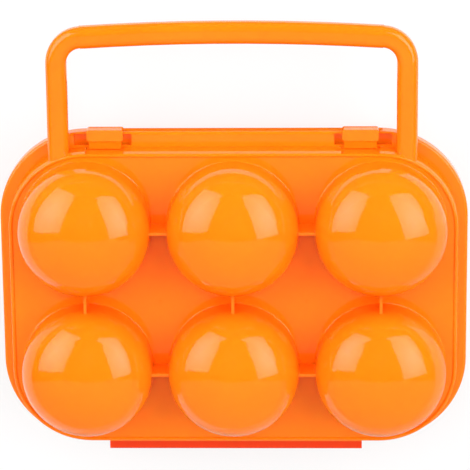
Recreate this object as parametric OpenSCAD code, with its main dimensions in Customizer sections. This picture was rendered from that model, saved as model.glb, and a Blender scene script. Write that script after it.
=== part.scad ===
// Carrying case for six eggs: two moulded trays of domed cups that close on each other.
// The base tray lies on its six domes, the lid tray with the handle lies face down on it,
// and a strap hinge along the back joins the two. Millimetres, +Z up.
// The origin is under the middle of the whole case, on the surface that it lies on.

/* [Egg cups] */
// Outside diameter of a cup
cup_d = 53.2; // [48:0.2:54]
// Distance between cup centres across the case
cup_pitch_x = 59.6; // [58:0.1:66]
// Distance between cup centres from handle to hinge
cup_pitch_y = 60; // [58:0.1:66]
// From the parting plane to the crown of a dome
half_depth = 37.2; // [34:0.1:44]
// Radius of the shoulder between a cup's drum and its crown
shoulder_r = 16; // [10:0.5:18]
// Radius of the crown of a dome
crown_r = 36; // [30:0.5:50]
// Radius of the fillet at a cup's foot
foot_r = 0.5; // [0.2:0.1:2]

/* [Trays] */
// Wall thickness of cups, faces and ledge
skin = 1.5; // [1:0.1:2]
// Edge of the lid beyond the outer cups, at the sides
margin_side = 4.9; // [3.5:0.1:10]
// Edge of the lid beyond the cups, towards the handle
margin_front = 3.7; // [3.5:0.1:10]
// Edge of the lid beyond the cups, towards the hinge
margin_back = 6.9; // [3.5:0.1:12]
// Corner radius of the lid
corner_r = 32; // [20:0.5:38]
// Height of the lid's side wall
lid_wall_h = 9.4; // [9:0.1:14]
// Thickness of the lid's side wall
rim_w = 2; // [1.6:0.1:2.6]
// How far the outside of that wall tapers in below its rounded top
rim_taper = 0.4; // [0.2:0.05:0.6]
// How far below the top the taper starts
rim_taper_h = 2.7; // [1.5:0.1:4]
// Height of that rounded rim above the lid's face
rim_lip = 0.6; // [0.2:0.1:0.9]
// Depth of the base tray's side wall
base_wall_h = 6.5; // [5:0.1:9]

/* [Base ledge] */
// Width of the ledge outside the lid, at the sides
ledge_side = 3.9; // [3:0.1:8]
// Width of the ledge outside the lid, towards the handle
ledge_front = 6.2; // [4.4:0.1:8]
// Width of the ledge outside the lid, towards the hinge
ledge_back = 2.7; // [2:0.1:4]
// Height of the skirt that hangs from the ledge
skirt_h = 6; // [4:0.1:9]
// Thickness of the skirt
skirt_t = 1.6; // [1.4:0.1:2]
// Rounding of the ledge's outer edge
ledge_edge_r = 1.2; // [0.4:0.1:1.3]

/* [Ribs] */
// Thickness of a rib between two cups
rib_t = 1.2; // [0.8:0.1:2]
// Height of a rib above the tray's face
rib_h = 12.5; // [6:0.5:14]

/* [Handle] */
// Thickness of the handle's legs, a rounded square in section
bar_w = 8.4; // [7:0.1:9]
// Rounding of the handle's edges
bar_edge_r = 3; // [1:0.1:3.2]
// How much fuller the grip is than the legs, all round
grip_full = 0.2; // [0.1:0.05:0.4]
// Width of the handle over its legs
handle_w = 148.4; // [125:0.1:150]
// From the lid's edge to the middle of the bar at its highest
handle_rise = 48.6; // [35:0.1:70]
// Bending radius of the handle's corners, at the middle of the bar
handle_corner_r = 10.3; // [7:0.1:16]
// Radius of the slight bow of the grip
grip_bow_r = 950; // [600:10:3000]

/* [Latches] */
// Distance of a latch from the middle of the case
latch_x = 51.4; // [38:0.1:51.6]
// Width of a latch lug
lug_w = 14.6; // [10:0.1:15]
// Thickness of a lug, from its inner to its outer side
lug_t = 4.6; // [3:0.1:5]
// Gap between the lid's wall and a lug
lug_gap = 3.3; // [2.4:0.1:3.6]
// Height of a lug above the ledge
lug_h = 3.5; // [3:0.1:5]
// How far the lug's outer side hangs down in front of the skirt
lug_drop = 2; // [0.5:0.1:4]
// Depth of the channel in the lid's wall under a lug
channel_d = 0.6; // [0.4:0.05:0.8]
// How far the lug's lip reaches into that channel
lip_bite = 0.3; // [0.1:0.05:0.35]
// Radius of the catch bead that the lip snaps over
bead_r = 0.5; // [0.3:0.05:0.55]
// Width of the relief slot on the inner side of a lug
slot_in = 3.2; // [2:0.1:6]
// Width of the relief slot on the outer side of a lug
slot_out = 5.4; // [2:0.1:6]
// Depth of that slot, down to the shelf under it
slot_depth = 2.4; // [2:0.1:3]

/* [Hinge] */
// Width of the strap hinge
strap_w = 104.6; // [70:0.2:112]
// From the lid's edge to the fold of the strap
strap_reach = 5.5; // [5:0.1:8]
// Thickness of each leaf of the strap
leaf_t = 1; // [0.8:0.05:1.2]
// Radius of the fold
fold_r = 0.9; // [0.6:0.05:1]
// Clearance around the fold and between the leaves
fold_gap = 0.05; // [0.03:0.01:0.1]

/* [Hidden] */
$fn = 96;

case_orange = "#ff8616";
over = 1;
parting_z = half_depth;
lid_face = lid_wall_h - rim_lip;
cup_r = cup_d / 2;
cups = [for (x = [-1, 0, 1], y = [-0.5, 0.5]) [x * cup_pitch_x, y * cup_pitch_y]];

// outline of the lid, and of the base's ledge, seen from above
lid_w = 2 * (cup_pitch_x + cup_r + margin_side);
lid_y0 = -(cup_pitch_y / 2 + cup_r + margin_front);
lid_y1 = cup_pitch_y / 2 + cup_r + margin_back;
base_w = lid_w + 2 * ledge_side;
base_y0 = lid_y0 - ledge_front;
base_y1 = lid_y1 + ledge_back;

// handle: the legs, the corner arcs and the bowed grip run into each other
bar_z = lid_wall_h - grip_full - bar_w / 2;
leg_x = (handle_w - bar_w) / 2;
corner_x = leg_x - handle_corner_r;
bow_angle = asin(corner_x / (grip_bow_r - handle_corner_r));
grip_y = lid_y0 - handle_rise;
bow_y = grip_y + grip_bow_r;
corner_y = bow_y - (grip_bow_r - handle_corner_r) * cos(bow_angle);
bow_facets = 1800;
seat_angle = 5;

// hinge fold, and the place of the whole case over the origin
fold_y = lid_y1 + strap_reach;
case_y0 = grip_y - bar_w / 2 - grip_full;
case_y1 = fold_y + fold_r;
shift_y = -(case_y0 + case_y1) / 2;

// catch: the bead lies just above the ledge and the lug's lip just above the bead
bead_z = bead_r + 0.1;
lip_z = bead_z + bead_r + 0.15;
lip_h = 1;
lip_tip_h = 0.5;
channel_gap = 0.4;
lug_edge_r = 0.8;
slot_margin = 0.8;
shelf_t = 1;

// mould marks on the lid's face, between four cups
mark_d = 1.7;
mark_w = 0.35;
mark_h = 0.15;
mark_y = 2.8;

module place() {
    translate([0, shift_y, parting_z]) children();
}

module rounded(w, l, r) {
    square([w - 2 * r, l], center = true);
    square([w, l - 2 * r], center = true);
    for (x = [-1, 1], y = [-1, 1])
        translate([x * (w / 2 - r), y * (l / 2 - r)]) circle(r);
}

// the lid's outline, drawn in by the given distance
module lid_outline(inset = 0) {
    translate([0, (lid_y0 + lid_y1) / 2])
        rounded(lid_w - 2 * inset, lid_y1 - lid_y0 - 2 * inset, corner_r - inset);
}

module base_outline(inset = 0) {
    translate([0, (base_y0 + base_y1) / 2])
        rounded(base_w - 2 * inset, base_y1 - base_y0 - 2 * inset, corner_r + ledge_side - inset);
}

// carries an edge profile round a rounded rectangle: x points outwards from the outline
module around(w, l, r) {
    for (a = [0:90:270]) {
        reach = a % 180 == 0 ? w / 2 : l / 2;
        run = a % 180 == 0 ? l - 2 * r : w - 2 * r;
        rotate([0, 0, a]) translate([reach, run / 2, 0]) rotate([90, 0, 0])
            linear_extrude(run) children();
        rotate([0, 0, a]) translate([reach - r, run / 2, 0])
            rotate_extrude(angle = 90) translate([r, 0]) children();
    }
}

// half section of a cup, from its axis: a straight drum, a round shoulder and a flatter crown
module dome_section(r, shoulder, crown, h) {
    crown_y = h - crown;
    drum = crown_y + sqrt(pow(crown - shoulder, 2) - pow(r - shoulder, 2));
    ray = 2 * crown / (crown - shoulder);
    intersection() {
        square([r, h + over]);
        union() {
            square([r, drum]);
            translate([r - shoulder, drum]) circle(shoulder);
            intersection() {
                translate([0, crown_y]) circle(crown, $fn = 2 * $fn);
                polygon([
                    [0, crown_y],
                    [ray * (r - shoulder), crown_y + ray * (drum - crown_y)],
                    [0, crown_y + 2 * crown]
                ]);
            }
        }
    }
}

// outside of a cup, from the inner side of a tray's face at z = 0, with the fillet at its foot
module cup_outside(h) {
    rotate_extrude() {
        dome_section(cup_r, shoulder_r, crown_r, h);
        translate([cup_r, skin]) difference() {
            square(foot_r);
            translate([foot_r, foot_r]) circle(foot_r);
        }
        square([cup_r + foot_r, skin]);
    }
}

// hollow of a cup: the same section, one skin smaller, with a rounded mouth
module cup_hollow(h) {
    mouth_r = foot_r + skin;
    rotate_extrude() {
        dome_section(cup_r - skin, shoulder_r - skin, crown_r - skin, h - skin);
        difference() {
            square([cup_r - skin + mouth_r, mouth_r]);
            translate([cup_r - skin + mouth_r, mouth_r]) circle(mouth_r);
        }
        translate([0, -over]) square([cup_r - skin + mouth_r, over]);
    }
}

// ribs that tie each cup to its neighbours
module ribs(h) {
    for (x = [-1, 0, 1])
        translate([x * cup_pitch_x - rib_t / 2, -cup_pitch_y / 2, 0])
            cube([rib_t, cup_pitch_y, h]);
    for (y = [-0.5, 0.5])
        translate([-cup_pitch_x, y * cup_pitch_y - rib_t / 2, 0])
            cube([2 * cup_pitch_x, rib_t, h]);
}

// face of a tray with its six cups and ribs, drawn outwards from the parting plane
module cup_face(face) {
    inner = face - skin;
    difference() {
        union() {
            translate([0, 0, inner]) linear_extrude(skin) lid_outline(rim_w / 2);
            for (c = cups) translate([c.x, c.y, inner]) cup_outside(half_depth - inner);
            translate([0, 0, inner]) ribs(skin + rib_h);
        }
        for (c = cups) translate([c.x, c.y, inner]) cup_hollow(half_depth - inner);
    }
}

module lid_wall() {
    translate([0, (lid_y0 + lid_y1) / 2, 0]) around(lid_w, lid_y1 - lid_y0, corner_r) {
        top_d = rim_w - rim_taper;
        polygon([
            [-rim_w, 0],
            [0, 0],
            [0, lid_wall_h - rim_taper_h],
            [-rim_taper, lid_wall_h - top_d / 2],
            [-rim_w, lid_wall_h - top_d / 2]
        ]);
        translate([-rim_w + top_d / 2, lid_wall_h - top_d / 2]) circle(d = top_d);
    }
}

// section of the handle, grown by the given amount
module bar_section(grow = 0) {
    rounded(bar_w + 2 * grow, bar_w + 2 * grow, bar_edge_r + grow, $fn = 48);
}

// one leg of the handle and its corner, whose end is seated in the fuller grip
module handle_side() {
    leg_l = lid_y0 + corner_r - corner_y;
    translate([-leg_x, corner_y + leg_l, 0]) rotate([90, 0, 0]) linear_extrude(leg_l) bar_section();
    translate([-corner_x, corner_y, 0]) rotate([0, 0, 180])
        rotate_extrude(angle = 90 - bow_angle + seat_angle) translate([handle_corner_r, 0]) bar_section();
}

// bent bar in one piece with the lid's wall, its top flush with the rim
module handle() {
    difference() {
        translate([0, 0, bar_z]) {
            handle_side();
            mirror([1, 0, 0]) handle_side();
            translate([0, bow_y, 0]) rotate([0, 0, -90 - bow_angle])
                rotate_extrude(angle = 2 * bow_angle, $fn = bow_facets)
                    translate([grip_bow_r, 0]) bar_section(grip_full);
        }
        translate([0, 0, -over]) linear_extrude(lid_wall_h + 2 * over) lid_outline(rim_w / 2);
    }
}

// one leaf of the strap, from the given edge to the fold
module leaf(y0) {
    difference() {
        translate([-strap_w / 2, y0, fold_gap]) cube([strap_w, fold_y - y0, leaf_t]);
        fold_clearance();
    }
}

module fold_clearance() {
    translate([-strap_w / 2 - over, fold_y, 0]) rotate([0, 90, 0])
        cylinder(h = strap_w + 2 * over, r = fold_r + fold_gap);
}

// channel down the lid's wall that lets a lug's lip in
module latch_channel() {
    channel_w = lug_w + 2 * channel_gap;
    translate([-channel_w / 2, lid_y0 - over, -over])
        cube([channel_w, over + channel_d, lid_wall_h + 2 * over]);
}

// half-round bead across the channel, which the lip snaps over
module catch_bead() {
    translate([-lug_w / 2, lid_y0 + channel_d, bead_z]) rotate([0, 90, 0])
        cylinder(h = lug_w, r = bead_r);
}

// ring left by the mould on the lid's face
module mould_mark() {
    linear_extrude(over) difference() {
        circle(d = mark_d);
        circle(d = mark_d - 2 * mark_w);
    }
    cylinder(h = over, d = mark_w);
}

// upper tray with its rim, handle, catches and leaf
module lid_tray() {
    color(case_orange) place() {
        difference() {
            union() {
                cup_face(lid_face);
                lid_wall();
                handle();
                leaf(lid_y1 - rim_w / 2);
            }
            for (x = [-latch_x, latch_x]) translate([x, 0, 0]) latch_channel();
        }
        for (x = [-latch_x, latch_x]) translate([x, 0, 0]) catch_bead();
        for (x = [-0.5, 0.5]) translate([x * cup_pitch_x, mark_y, lid_face + mark_h - over]) mould_mark();
    }
}

// ledge that the lid lies on, with its rounded edge and the skirt under it
module base_rim() {
    translate([0, (base_y0 + base_y1) / 2, 0])
        around(base_w, base_y1 - base_y0, corner_r + ledge_side) {
            translate([-skirt_t, ledge_edge_r]) square([skirt_t, skirt_h - ledge_edge_r]);
            translate([-skirt_t, 0]) square([skirt_t - ledge_edge_r, ledge_edge_r + over / 2]);
            translate([-ledge_edge_r, ledge_edge_r]) circle(ledge_edge_r);
        }
    linear_extrude(skin) difference() {
        base_outline(skirt_t - (skirt_t - ledge_edge_r) / 2);
        lid_outline(rim_w);
    }
    linear_extrude(base_wall_h) difference() {
        lid_outline();
        lid_outline(rim_w);
    }
}

// slot round three sides of a lug, which lets it flex; the shelf under it stays
module relief_slot(side) {
    slot_y0 = base_y0 + slot_margin;
    slot_y1 = lid_y0 - slot_margin;
    slot_w = slot_in + lug_w + slot_out;
    translate([side * (slot_out - slot_in) / 2, 0, -over])
        linear_extrude(slot_depth + over) difference() {
            translate([-slot_w / 2, slot_y0]) square([slot_w, slot_y1 - slot_y0]);
            translate([-side * (slot_out - slot_in) / 2 - lug_w / 2, slot_y0 - over])
                square([lug_w, lid_y0 - lug_gap - slot_y0 + over]);
        }
}

// shelf under a relief slot, from the skirt to the tray's wall
module latch_shelf(side) {
    shelf_w = slot_in + lug_w + slot_out + 2 * skin;
    translate([side * (slot_out - slot_in) / 2 - shelf_w / 2, base_y0 + skirt_t / 2, slot_depth])
        cube([shelf_w, ledge_front, shelf_t]);
}

// lug with a rounded finger pad, and the lip that reaches over the catch bead
module lug() {
    lug_y0 = lid_y0 - lug_gap - lug_t;
    pad_t = base_y0 + slot_margin - lug_y0;
    translate([0, lug_y0 + lug_t / 2, -skin / 2]) linear_extrude(skin / 2 + lug_h)
        rounded(lug_w, lug_t, lug_edge_r);
    translate([0, 0, -lug_drop]) linear_extrude(lug_drop) intersection() {
        translate([0, lug_y0 + lug_t / 2]) rounded(lug_w, lug_t, lug_edge_r);
        translate([-lug_w / 2, lug_y0]) square([lug_w, pad_t]);
    }
    lip_w = lug_w - 2 * lug_edge_r;
    translate([-lip_w / 2, 0, 0]) rotate([90, 0, 90]) linear_extrude(lip_w) polygon([
        [lid_y0 - lug_gap - over, lip_z],
        [lid_y0 + lip_bite, lip_z],
        [lid_y0 + lip_bite, lip_z + lip_tip_h],
        [lid_y0 - lug_gap, lip_z + lip_h],
        [lid_y0 - lug_gap - over, lip_z + lip_h]
    ]);
}

// lower tray, whose six domes carry the case, with its ledge, lugs and leaf
module base_tray() {
    color(case_orange) place() {
        difference() {
            mirror([0, 0, 1]) {
                cup_face(base_wall_h);
                base_rim();
                leaf(base_y1 - skirt_t / 2);
                for (side = [-1, 1]) translate([side * latch_x, 0, 0]) latch_shelf(side);
            }
            for (side = [-1, 1]) translate([side * latch_x, 0, 0]) mirror([0, 0, 1]) relief_slot(side);
        }
        for (x = [-latch_x, latch_x]) translate([x, 0, 0]) lug();
    }
}

// the thin web of the strap, doubled round where the leaves meet
module strap_fold() {
    color(case_orange) place()
        translate([-strap_w / 2, fold_y, 0]) rotate([0, 90, 0]) cylinder(h = strap_w, r = fold_r);
}

base_tray();
lid_tray();
strap_fold();
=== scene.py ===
from math import cos, pi, radians, sin

import bmesh
import bpy
from mathutils import Matrix, Vector

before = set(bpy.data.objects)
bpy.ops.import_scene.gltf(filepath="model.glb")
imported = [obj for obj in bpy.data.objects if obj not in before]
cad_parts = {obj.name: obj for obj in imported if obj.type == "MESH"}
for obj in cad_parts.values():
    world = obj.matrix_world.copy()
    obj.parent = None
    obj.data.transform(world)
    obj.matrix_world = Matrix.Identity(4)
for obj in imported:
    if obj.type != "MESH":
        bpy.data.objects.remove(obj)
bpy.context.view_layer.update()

# The two trays and the strap between them are one injection moulding in polypropylene, dyed orange
# in the mass. The tool was polished over the cups, so they come out glossy, and a wall of 1.5 mm
# still lets a little light through.


def linear(hex_colour):
    """Turns an sRGB colour such as "#FF8A14" into the linear RGBA that a shader takes."""
    channels = [int(hex_colour[i:i + 2], 16) / 255 for i in (1, 3, 5)]
    return [c / 12.92 if c <= 0.04045 else ((c + 0.055) / 1.055) ** 2.4 for c in channels] + [1.0]


def add_node(tree, kind, links=(), **settings):
    """Adds a node, sets its properties and inputs by name, and links (input, output) pairs."""
    node = tree.nodes.new(kind)
    for name, value in settings.items():
        if hasattr(node, name):
            setattr(node, name, value)
        else:
            node.inputs[name.replace("_", " ")].default_value = value
    for name, output in links:
        tree.links.new(node.inputs[name], output)
    return node


def per_metre(size_mm):
    """Gives the texture scale at which a pattern repeats about every size_mm."""
    return 1000 / size_mm


def bare_material(name):
    """Makes a material that has no nodes yet, and gives it back with its node tree."""
    material = bpy.data.materials.new(name)
    material.use_nodes = True
    material.node_tree.nodes.clear()
    return material, material.node_tree


# The painted shade on the hinge strap starts past the lid's edge and spans the strap's width.
strap_root = 0.0879
strap_half_width = 0.0525
strap_edge_blur = 0.0003
swell_height = 0.00002
grain_height = 0.0000012
scatter_depth = 0.0006


def orange_polypropylene():
    """Injection-moulded polypropylene: a saturated orange, redder in the corners, a clear gloss."""
    material, tree = bare_material("orange_polypropylene_moulded")
    place = add_node(tree, "ShaderNodeTexCoord").outputs["Object"]
    # The melt carries its dye in broad streaks that spread from the gates in each tray's middle.
    streaks = add_node(tree, "ShaderNodeTexNoise", [("Vector", place)], Scale=per_metre(38),
                       Detail=2.0, Roughness=0.45, Distortion=0.6).outputs["Fac"]
    dyed = add_node(tree, "ShaderNodeMix", [("Factor", streaks)], data_type="RGBA",
                    A=linear("#FF7A0B"), B=linear("#FF8210")).outputs["Result"]
    # Painted shade: the hinge strap lies in the shade under the lid, and a deeper, darker orange
    #     # is painted over it to stand for that shade.
    axes = add_node(tree, "ShaderNodeSeparateXYZ", [("Vector", place)]).outputs
    past_lid = add_node(tree, "ShaderNodeMapRange", [("Value", axes["Y"])],
                        From_Min=strap_root, From_Max=strap_root + strap_edge_blur)
    aside = add_node(tree, "ShaderNodeMath", [(0, axes["X"])], operation="ABSOLUTE")
    within = add_node(tree, "ShaderNodeMath", [(0, aside.outputs["Value"])], operation="LESS_THAN")
    within.inputs[1].default_value = strap_half_width
    strap_painted_shade = add_node(tree, "ShaderNodeMath", [(0, past_lid.outputs["Result"]),
                                                 (1, within.outputs["Value"])],
                        operation="MULTIPLY").outputs["Value"]
    colour = add_node(tree, "ShaderNodeMix", [("Factor", strap_painted_shade), ("A", dyed)],
                      data_type="RGBA", B=linear("#EA3E06")).outputs["Result"]
    # The walls swell by about two hundredths of a millimetre where the melt cooled unevenly.
    wave = add_node(tree, "ShaderNodeTexNoise", [("Vector", place)],
                    Scale=per_metre(9), Detail=1.0, Roughness=0.4).outputs["Fac"]
    swell = add_node(tree, "ShaderNodeBump", [("Height", wave)],
                     Strength=1.0, Distance=swell_height).outputs["Normal"]
    # A real mould's polish has a grain near 0.05 mm: it is drawn at 0.5 mm so that it shows.
    grain = add_node(tree, "ShaderNodeTexNoise", [("Vector", place)],
                     Scale=per_metre(0.5), Detail=3.0, Roughness=0.55).outputs["Fac"]
    haze = add_node(tree, "ShaderNodeMapRange", [("Value", grain)],
                    From_Min=0.3, From_Max=0.7, To_Min=0.05, To_Max=0.09).outputs["Result"]
    skin = add_node(tree, "ShaderNodeBump", [("Height", grain), ("Normal", swell)],
                    Strength=1.0, Distance=grain_height).outputs["Normal"]
    shader = add_node(tree, "ShaderNodeBsdfPrincipled",
                      [("Base Color", colour), ("Roughness", haze), ("Normal", skin)],
                      IOR=1.49, Subsurface_Weight=0.3, Subsurface_Scale=scatter_depth,
                      Subsurface_Radius=(1.0, 0.22, 0.05))
    add_node(tree, "ShaderNodeOutputMaterial", [("Surface", shader.outputs["BSDF"])])
    return material


polypropylene = orange_polypropylene()
for node in ("base_tray", "lid_tray", "strap_fold"):
    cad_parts[node].data.materials[0] = polypropylene

# The camera looks down on the lying case, tilted a little towards its handle edge, and the handle
# is at the top of the picture.
aim = Vector((-0.000796, -0.00405, 0.046))
camera_distance = 1.2
camera_lens = 227.72
film_width = 36
nearest_seen = 0.05
tilt = radians(17.4092)
turn = radians(1.785)
roll = radians(-0.5939)

backwards = Vector((-sin(turn) * cos(tilt), -sin(tilt), cos(turn) * cos(tilt)))
level_right = Vector((0, -1, 0)).cross(backwards).normalized()
level_up = backwards.cross(level_right)
rightwards = cos(roll) * level_right + sin(roll) * level_up
upwards = cos(roll) * level_up - sin(roll) * level_right
facing_case = Matrix((rightwards, upwards, backwards)).transposed().to_4x4()
camera_data = bpy.data.cameras.new("camera")
camera_data.lens = camera_lens
camera_data.sensor_width = film_width
camera_data.clip_start = nearest_seen
camera = bpy.data.objects.new("camera", camera_data)
camera.matrix_world = Matrix.Translation(aim + backwards * camera_distance) @ facing_case
bpy.context.scene.collection.objects.link(camera)
bpy.context.scene.camera = camera

# The case lies on a wide sheet of matt white board. It shows as white to the camera and in the
# plastic's gloss, and keeps the case's soft shadow.
board_half_width = 4.0
board_white = 0.75
shadow_reach = 0.4
white_reach = 1.2
tooth_height = 0.00002


def matt_white_board():
    """Uncoated white board: an even matt white, with only a trace of its fibres."""
    material, tree = bare_material("matt_white_board")
    place = add_node(tree, "ShaderNodeTexCoord").outputs["Object"]
    # A real board's tooth is near 0.2 mm: it is drawn at 1.5 mm so that it shows.
    tooth = add_node(tree, "ShaderNodeTexNoise", [("Vector", place)],
                     Scale=per_metre(1.5), Detail=2.0).outputs["Fac"]
    bump = add_node(tree, "ShaderNodeBump", [("Height", tooth)],
                    Strength=0.3, Distance=tooth_height).outputs["Normal"]
    paint = add_node(tree, "ShaderNodeBsdfDiffuse", [("Normal", bump)],
                     Color=linear("#EBEBEB"), Roughness=0.5).outputs["BSDF"]
    glow = add_node(tree, "ShaderNodeEmission",
                    Color=linear("#FFFFFF"), Strength=1.0).outputs["Emission"]
    ray = add_node(tree, "ShaderNodeLightPath").outputs
    seen_or_mirrored = add_node(tree, "ShaderNodeMath", [(0, ray["Is Camera Ray"]),
                                                         (1, ray["Is Glossy Ray"])],
                                operation="MAXIMUM").outputs["Value"]
    seen_at_all = add_node(tree, "ShaderNodeMath", [(0, seen_or_mirrored),
                                                    (1, ray["Is Transmission Ray"])],
                           operation="MAXIMUM").outputs["Value"]
    # The shadow lies near the case. Further out the board turns wholly white, up to its horizon.
    far_out = add_node(tree, "ShaderNodeVectorMath", [(0, place)], operation="LENGTH")
    white = add_node(tree, "ShaderNodeMapRange", [("Value", far_out.outputs["Value"])],
                     From_Min=shadow_reach, From_Max=white_reach,
                     To_Min=board_white, To_Max=1.0).outputs["Result"]
    share = add_node(tree, "ShaderNodeMath", [(0, seen_at_all), (1, white)],
                     operation="MULTIPLY").outputs["Value"]
    face = add_node(tree, "ShaderNodeMixShader",
                    [(0, share), (1, paint), (2, glow)]).outputs["Shader"]
    # From below the board is clear to the camera, so that the case's underside can be looked at.
    under = add_node(tree, "ShaderNodeNewGeometry").outputs["Backfacing"]
    seen_from_below = add_node(tree, "ShaderNodeMath", [(0, under), (1, ray["Is Camera Ray"])],
                               operation="MULTIPLY").outputs["Value"]
    clear = add_node(tree, "ShaderNodeBsdfTransparent").outputs["BSDF"]
    both_sides = add_node(tree, "ShaderNodeMixShader",
                          [(0, seen_from_below), (1, face), (2, clear)]).outputs["Shader"]
    add_node(tree, "ShaderNodeOutputMaterial", [("Surface", both_sides)])
    return material


def set_out(name, shape, material):
    """Makes a bmesh into an object of one material and puts it in the scene."""
    mesh = bpy.data.meshes.new(name)
    shape.to_mesh(mesh)
    shape.free()
    mesh.materials.append(material)
    piece = bpy.data.objects.new(name, mesh)
    bpy.context.scene.collection.objects.link(piece)
    return piece


def flat_card(name, low, high, height, material):
    """Lays a level card between two corners at one height and puts it in the scene."""
    shape = bmesh.new()
    middle = ((low[0] + high[0]) / 2, (low[1] + high[1]) / 2, height)
    bmesh.ops.create_grid(shape, x_segments=1, y_segments=1, size=0.5)
    bmesh.ops.scale(shape, vec=(high[0] - low[0], high[1] - low[1], 1), verts=shape.verts)
    bmesh.ops.translate(shape, vec=middle, verts=shape.verts)
    card = set_out(name, shape, material)
    return card


flat_card("floor", (-board_half_width, -board_half_width), (board_half_width, board_half_width),
          0, matt_white_board())

# A white backdrop stands all round, far off. It is there for the camera alone: it lights nothing,
# and the gloss keeps the dark room that the photograph's cups show.
backdrop_radius = 9.0


def hide_from(piece, ray_kinds):
    """Keeps a piece out of the sight of the named kinds of ray."""
    for ray_kind in ray_kinds:
        setattr(piece, "visible_" + ray_kind, False)


backdrop_white, backdrop_tree = bare_material("white_backdrop")
backdrop_glow = add_node(backdrop_tree, "ShaderNodeEmission",
                         Color=linear("#FFFFFF"), Strength=1.0).outputs["Emission"]
add_node(backdrop_tree, "ShaderNodeOutputMaterial", [("Surface", backdrop_glow)])
backdrop_shape = bmesh.new()
bmesh.ops.create_uvsphere(backdrop_shape, u_segments=48, v_segments=24, radius=backdrop_radius)
bmesh.ops.reverse_faces(backdrop_shape, faces=backdrop_shape.faces)
backdrop = set_out("backdrop", backdrop_shape, backdrop_white)
hide_from(backdrop, ("diffuse", "glossy", "volume_scatter", "shadow"))

# Three flat sheets lie under the case and around it. Only the gloss sees them: they are painted
# # reflection that holds the white board out of it. Black beyond the handle stands for a dark room,
# # black under the case's front is the case's painted shadow, and grey from there back is a painted
# # dimmer board. The board stays bare under the handle, so the edges that face it keep a thin light
# line.
card_reach = 1.6
card_height = 0.0001
beyond_handle = -0.108
handle_foot = -0.0565
front_half_width = 0.062
case_middle = 0.0
case_side = 0.1


def gloss_only_tone(name, hex_colour):
    """An even, dull tone with no shine, for sheets that paint dark reflection into the gloss."""
    material, tree = bare_material(name)
    shader = add_node(tree, "ShaderNodeBsdfPrincipled",
                      Base_Color=linear(hex_colour), Roughness=0.9)
    add_node(tree, "ShaderNodeOutputMaterial", [("Surface", shader.outputs["BSDF"])])
    return material


# Black and grey here are painted reflection and painted shadow, seen in the gloss alone.
painted_dark_reflection = gloss_only_tone("painted_dark_reflection", "#101010")
painted_dim_reflection = gloss_only_tone("painted_dim_reflection", "#B4B4B4")
for name, low, high, reflection_tone in (
        ("dark_reflection_card_far", (-card_reach, beyond_handle - card_reach), (card_reach, beyond_handle),
         painted_dark_reflection),
        ("painted_shadow_card_near", (-front_half_width, handle_foot), (front_half_width, case_middle),
         painted_dark_reflection),
        ("dim_reflection_card", (-card_reach, case_middle), (case_side, card_reach), painted_dim_reflection)):
    card = flat_card(name, low, high, card_height, reflection_tone)
    hide_from(card, ("camera", "diffuse", "transmission", "volume_scatter", "shadow"))

# Two softboxes stand to the left and right of the camera. Their cloth is brightest over the lamp
# and falls off towards the hem, as the gloss on each cup shows.
softbox_distance = 1.6
cloth_middle = (0.5, 0.5, 0)
hem = 0.6


def hang_lamp(name, place, radiance, width, height=None):
    """Hangs a flat lamp out of the camera's sight, a round one where no height is given. Its
    power in watts is pi times its radiance times its area."""
    lamp = bpy.data.lights.new(name, "AREA")
    lamp.size = width
    if height:
        lamp.shape = "RECTANGLE"
        lamp.size_y = height
        lamp.energy = radiance * pi * width * height
    else:
        lamp.shape = "DISK"
        lamp.energy = radiance * pi * pi * (width / 2) ** 2
    hung = bpy.data.objects.new(name, lamp)
    hung.matrix_world = place
    hide_from(hung, ("camera",))
    bpy.context.scene.collection.objects.link(hung)
    return hung


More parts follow.
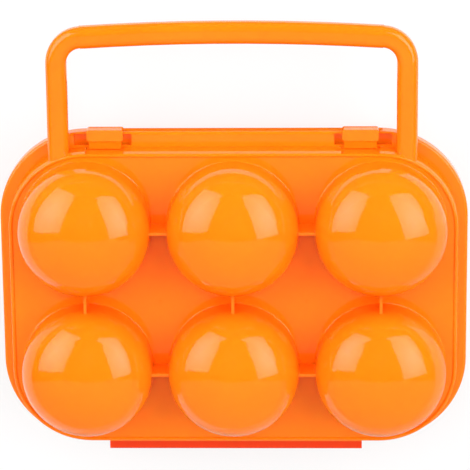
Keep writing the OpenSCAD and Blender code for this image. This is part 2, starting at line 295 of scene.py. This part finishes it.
def softbox(name, towards, side, upright, width, height, bright, dim):
    """Hangs a softbox in a direction from the case, with its edges along side and upright. Width
    and height are shares of its distance, bright and dim the radiances of its middle and hem."""
    x_axis = Vector(side).normalized()
    facing = x_axis.cross(Vector(upright)).normalized()
    turned = Matrix((x_axis, facing.cross(x_axis), facing)).transposed().to_4x4()
    place = Matrix.Translation(aim + Vector(towards) * softbox_distance) @ turned
    box = hang_lamp(name, place, 1.0, width * softbox_distance, height * softbox_distance)
    box.data.use_nodes = True
    tree = box.data.node_tree
    spot = add_node(tree, "ShaderNodeNewGeometry").outputs["Parametric"]
    off_middle = add_node(tree, "ShaderNodeVectorMath", [(0, spot)], operation="DISTANCE")
    off_middle.inputs[1].default_value = cloth_middle
    fall = add_node(tree, "ShaderNodeMapRange", [("Value", off_middle.outputs["Value"])],
                    interpolation_type="SMOOTHSTEP",
                    From_Min=0.0, From_Max=hem, To_Min=bright, To_Max=dim)
    tree.links.new(tree.nodes["Emission"].inputs["Strength"], fall.outputs["Result"])


softbox("softbox_left", towards=(0.679, -0.399, 0.616),
        side=(0.404, 0.140, -0.904), upright=(0.462, 0.821, 0.334),
        width=0.90, height=1.17, bright=3.8, dim=1.9)
softbox("softbox_right", towards=(-0.692, -0.257, 0.675),
        side=(-0.747, -0.073, -0.661), upright=(0.459, -0.776, -0.433),
        width=0.68, height=1.22, bright=4.0, dim=2.0)

# A wide dim screen stands upright beyond the hinge edge. It gives the lower half of each cup its
# broad pale reflection.
screen_middle = (0, 1.0, 2.45)
upright_screen = Matrix.Translation(screen_middle) @ Matrix.Rotation(radians(-90), 4, "X")
hang_lamp("low_screen", upright_screen, radiance=0.34, width=6.0, height=4.8)

# Round soft lamps fill the corners between the cups and the case's sides. They are kept out of the
# gloss, and each is given by the direction that it shines from, its width and how bright it is.
fill_distance = 2.4
for name, direction, width, radiance in (
        ("fill_over", (0, -0.2, 1), 2.4, 0.7),
        ("fill_front", (0, -0.3, 0.95), 1.0, 5.0),
        ("fill_handle", (0, -1, 1), 1.6, 0.6),
        ("fill_low_handle", (0, -1, 0.25), 1.6, 2.4),
        ("fill_low_hinge", (0, 1, 0.25), 1.6, 1.8),
        ("fill_left", (1, 0, 1), 1.6, 0.6),
        ("fill_right", (-1, 0, 1), 1.6, 1.5),
        ("fill_low_right", (-1, 0, 0.25), 1.6, 1.8)):
    towards = Vector(direction).normalized()
    turned = towards.to_track_quat("Z", "Y").to_matrix().to_4x4()
    place = Matrix.Translation(aim + towards * fill_distance) @ turned
    hide_from(hang_lamp(name, place, radiance, width), ("glossy",))

# The room round the set is all but dark. It adds a last trace of white light, and the picture is
# kept as it is taken.
room_light = 0.015
world = bpy.data.worlds.new("studio")
world.use_nodes = True
background = world.node_tree.nodes["Background"]
background.inputs["Color"].default_value = linear("#FFFFFF")
background.inputs["Strength"].default_value = room_light
bpy.context.scene.world = world
bpy.context.scene.view_settings.view_transform = "Standard"
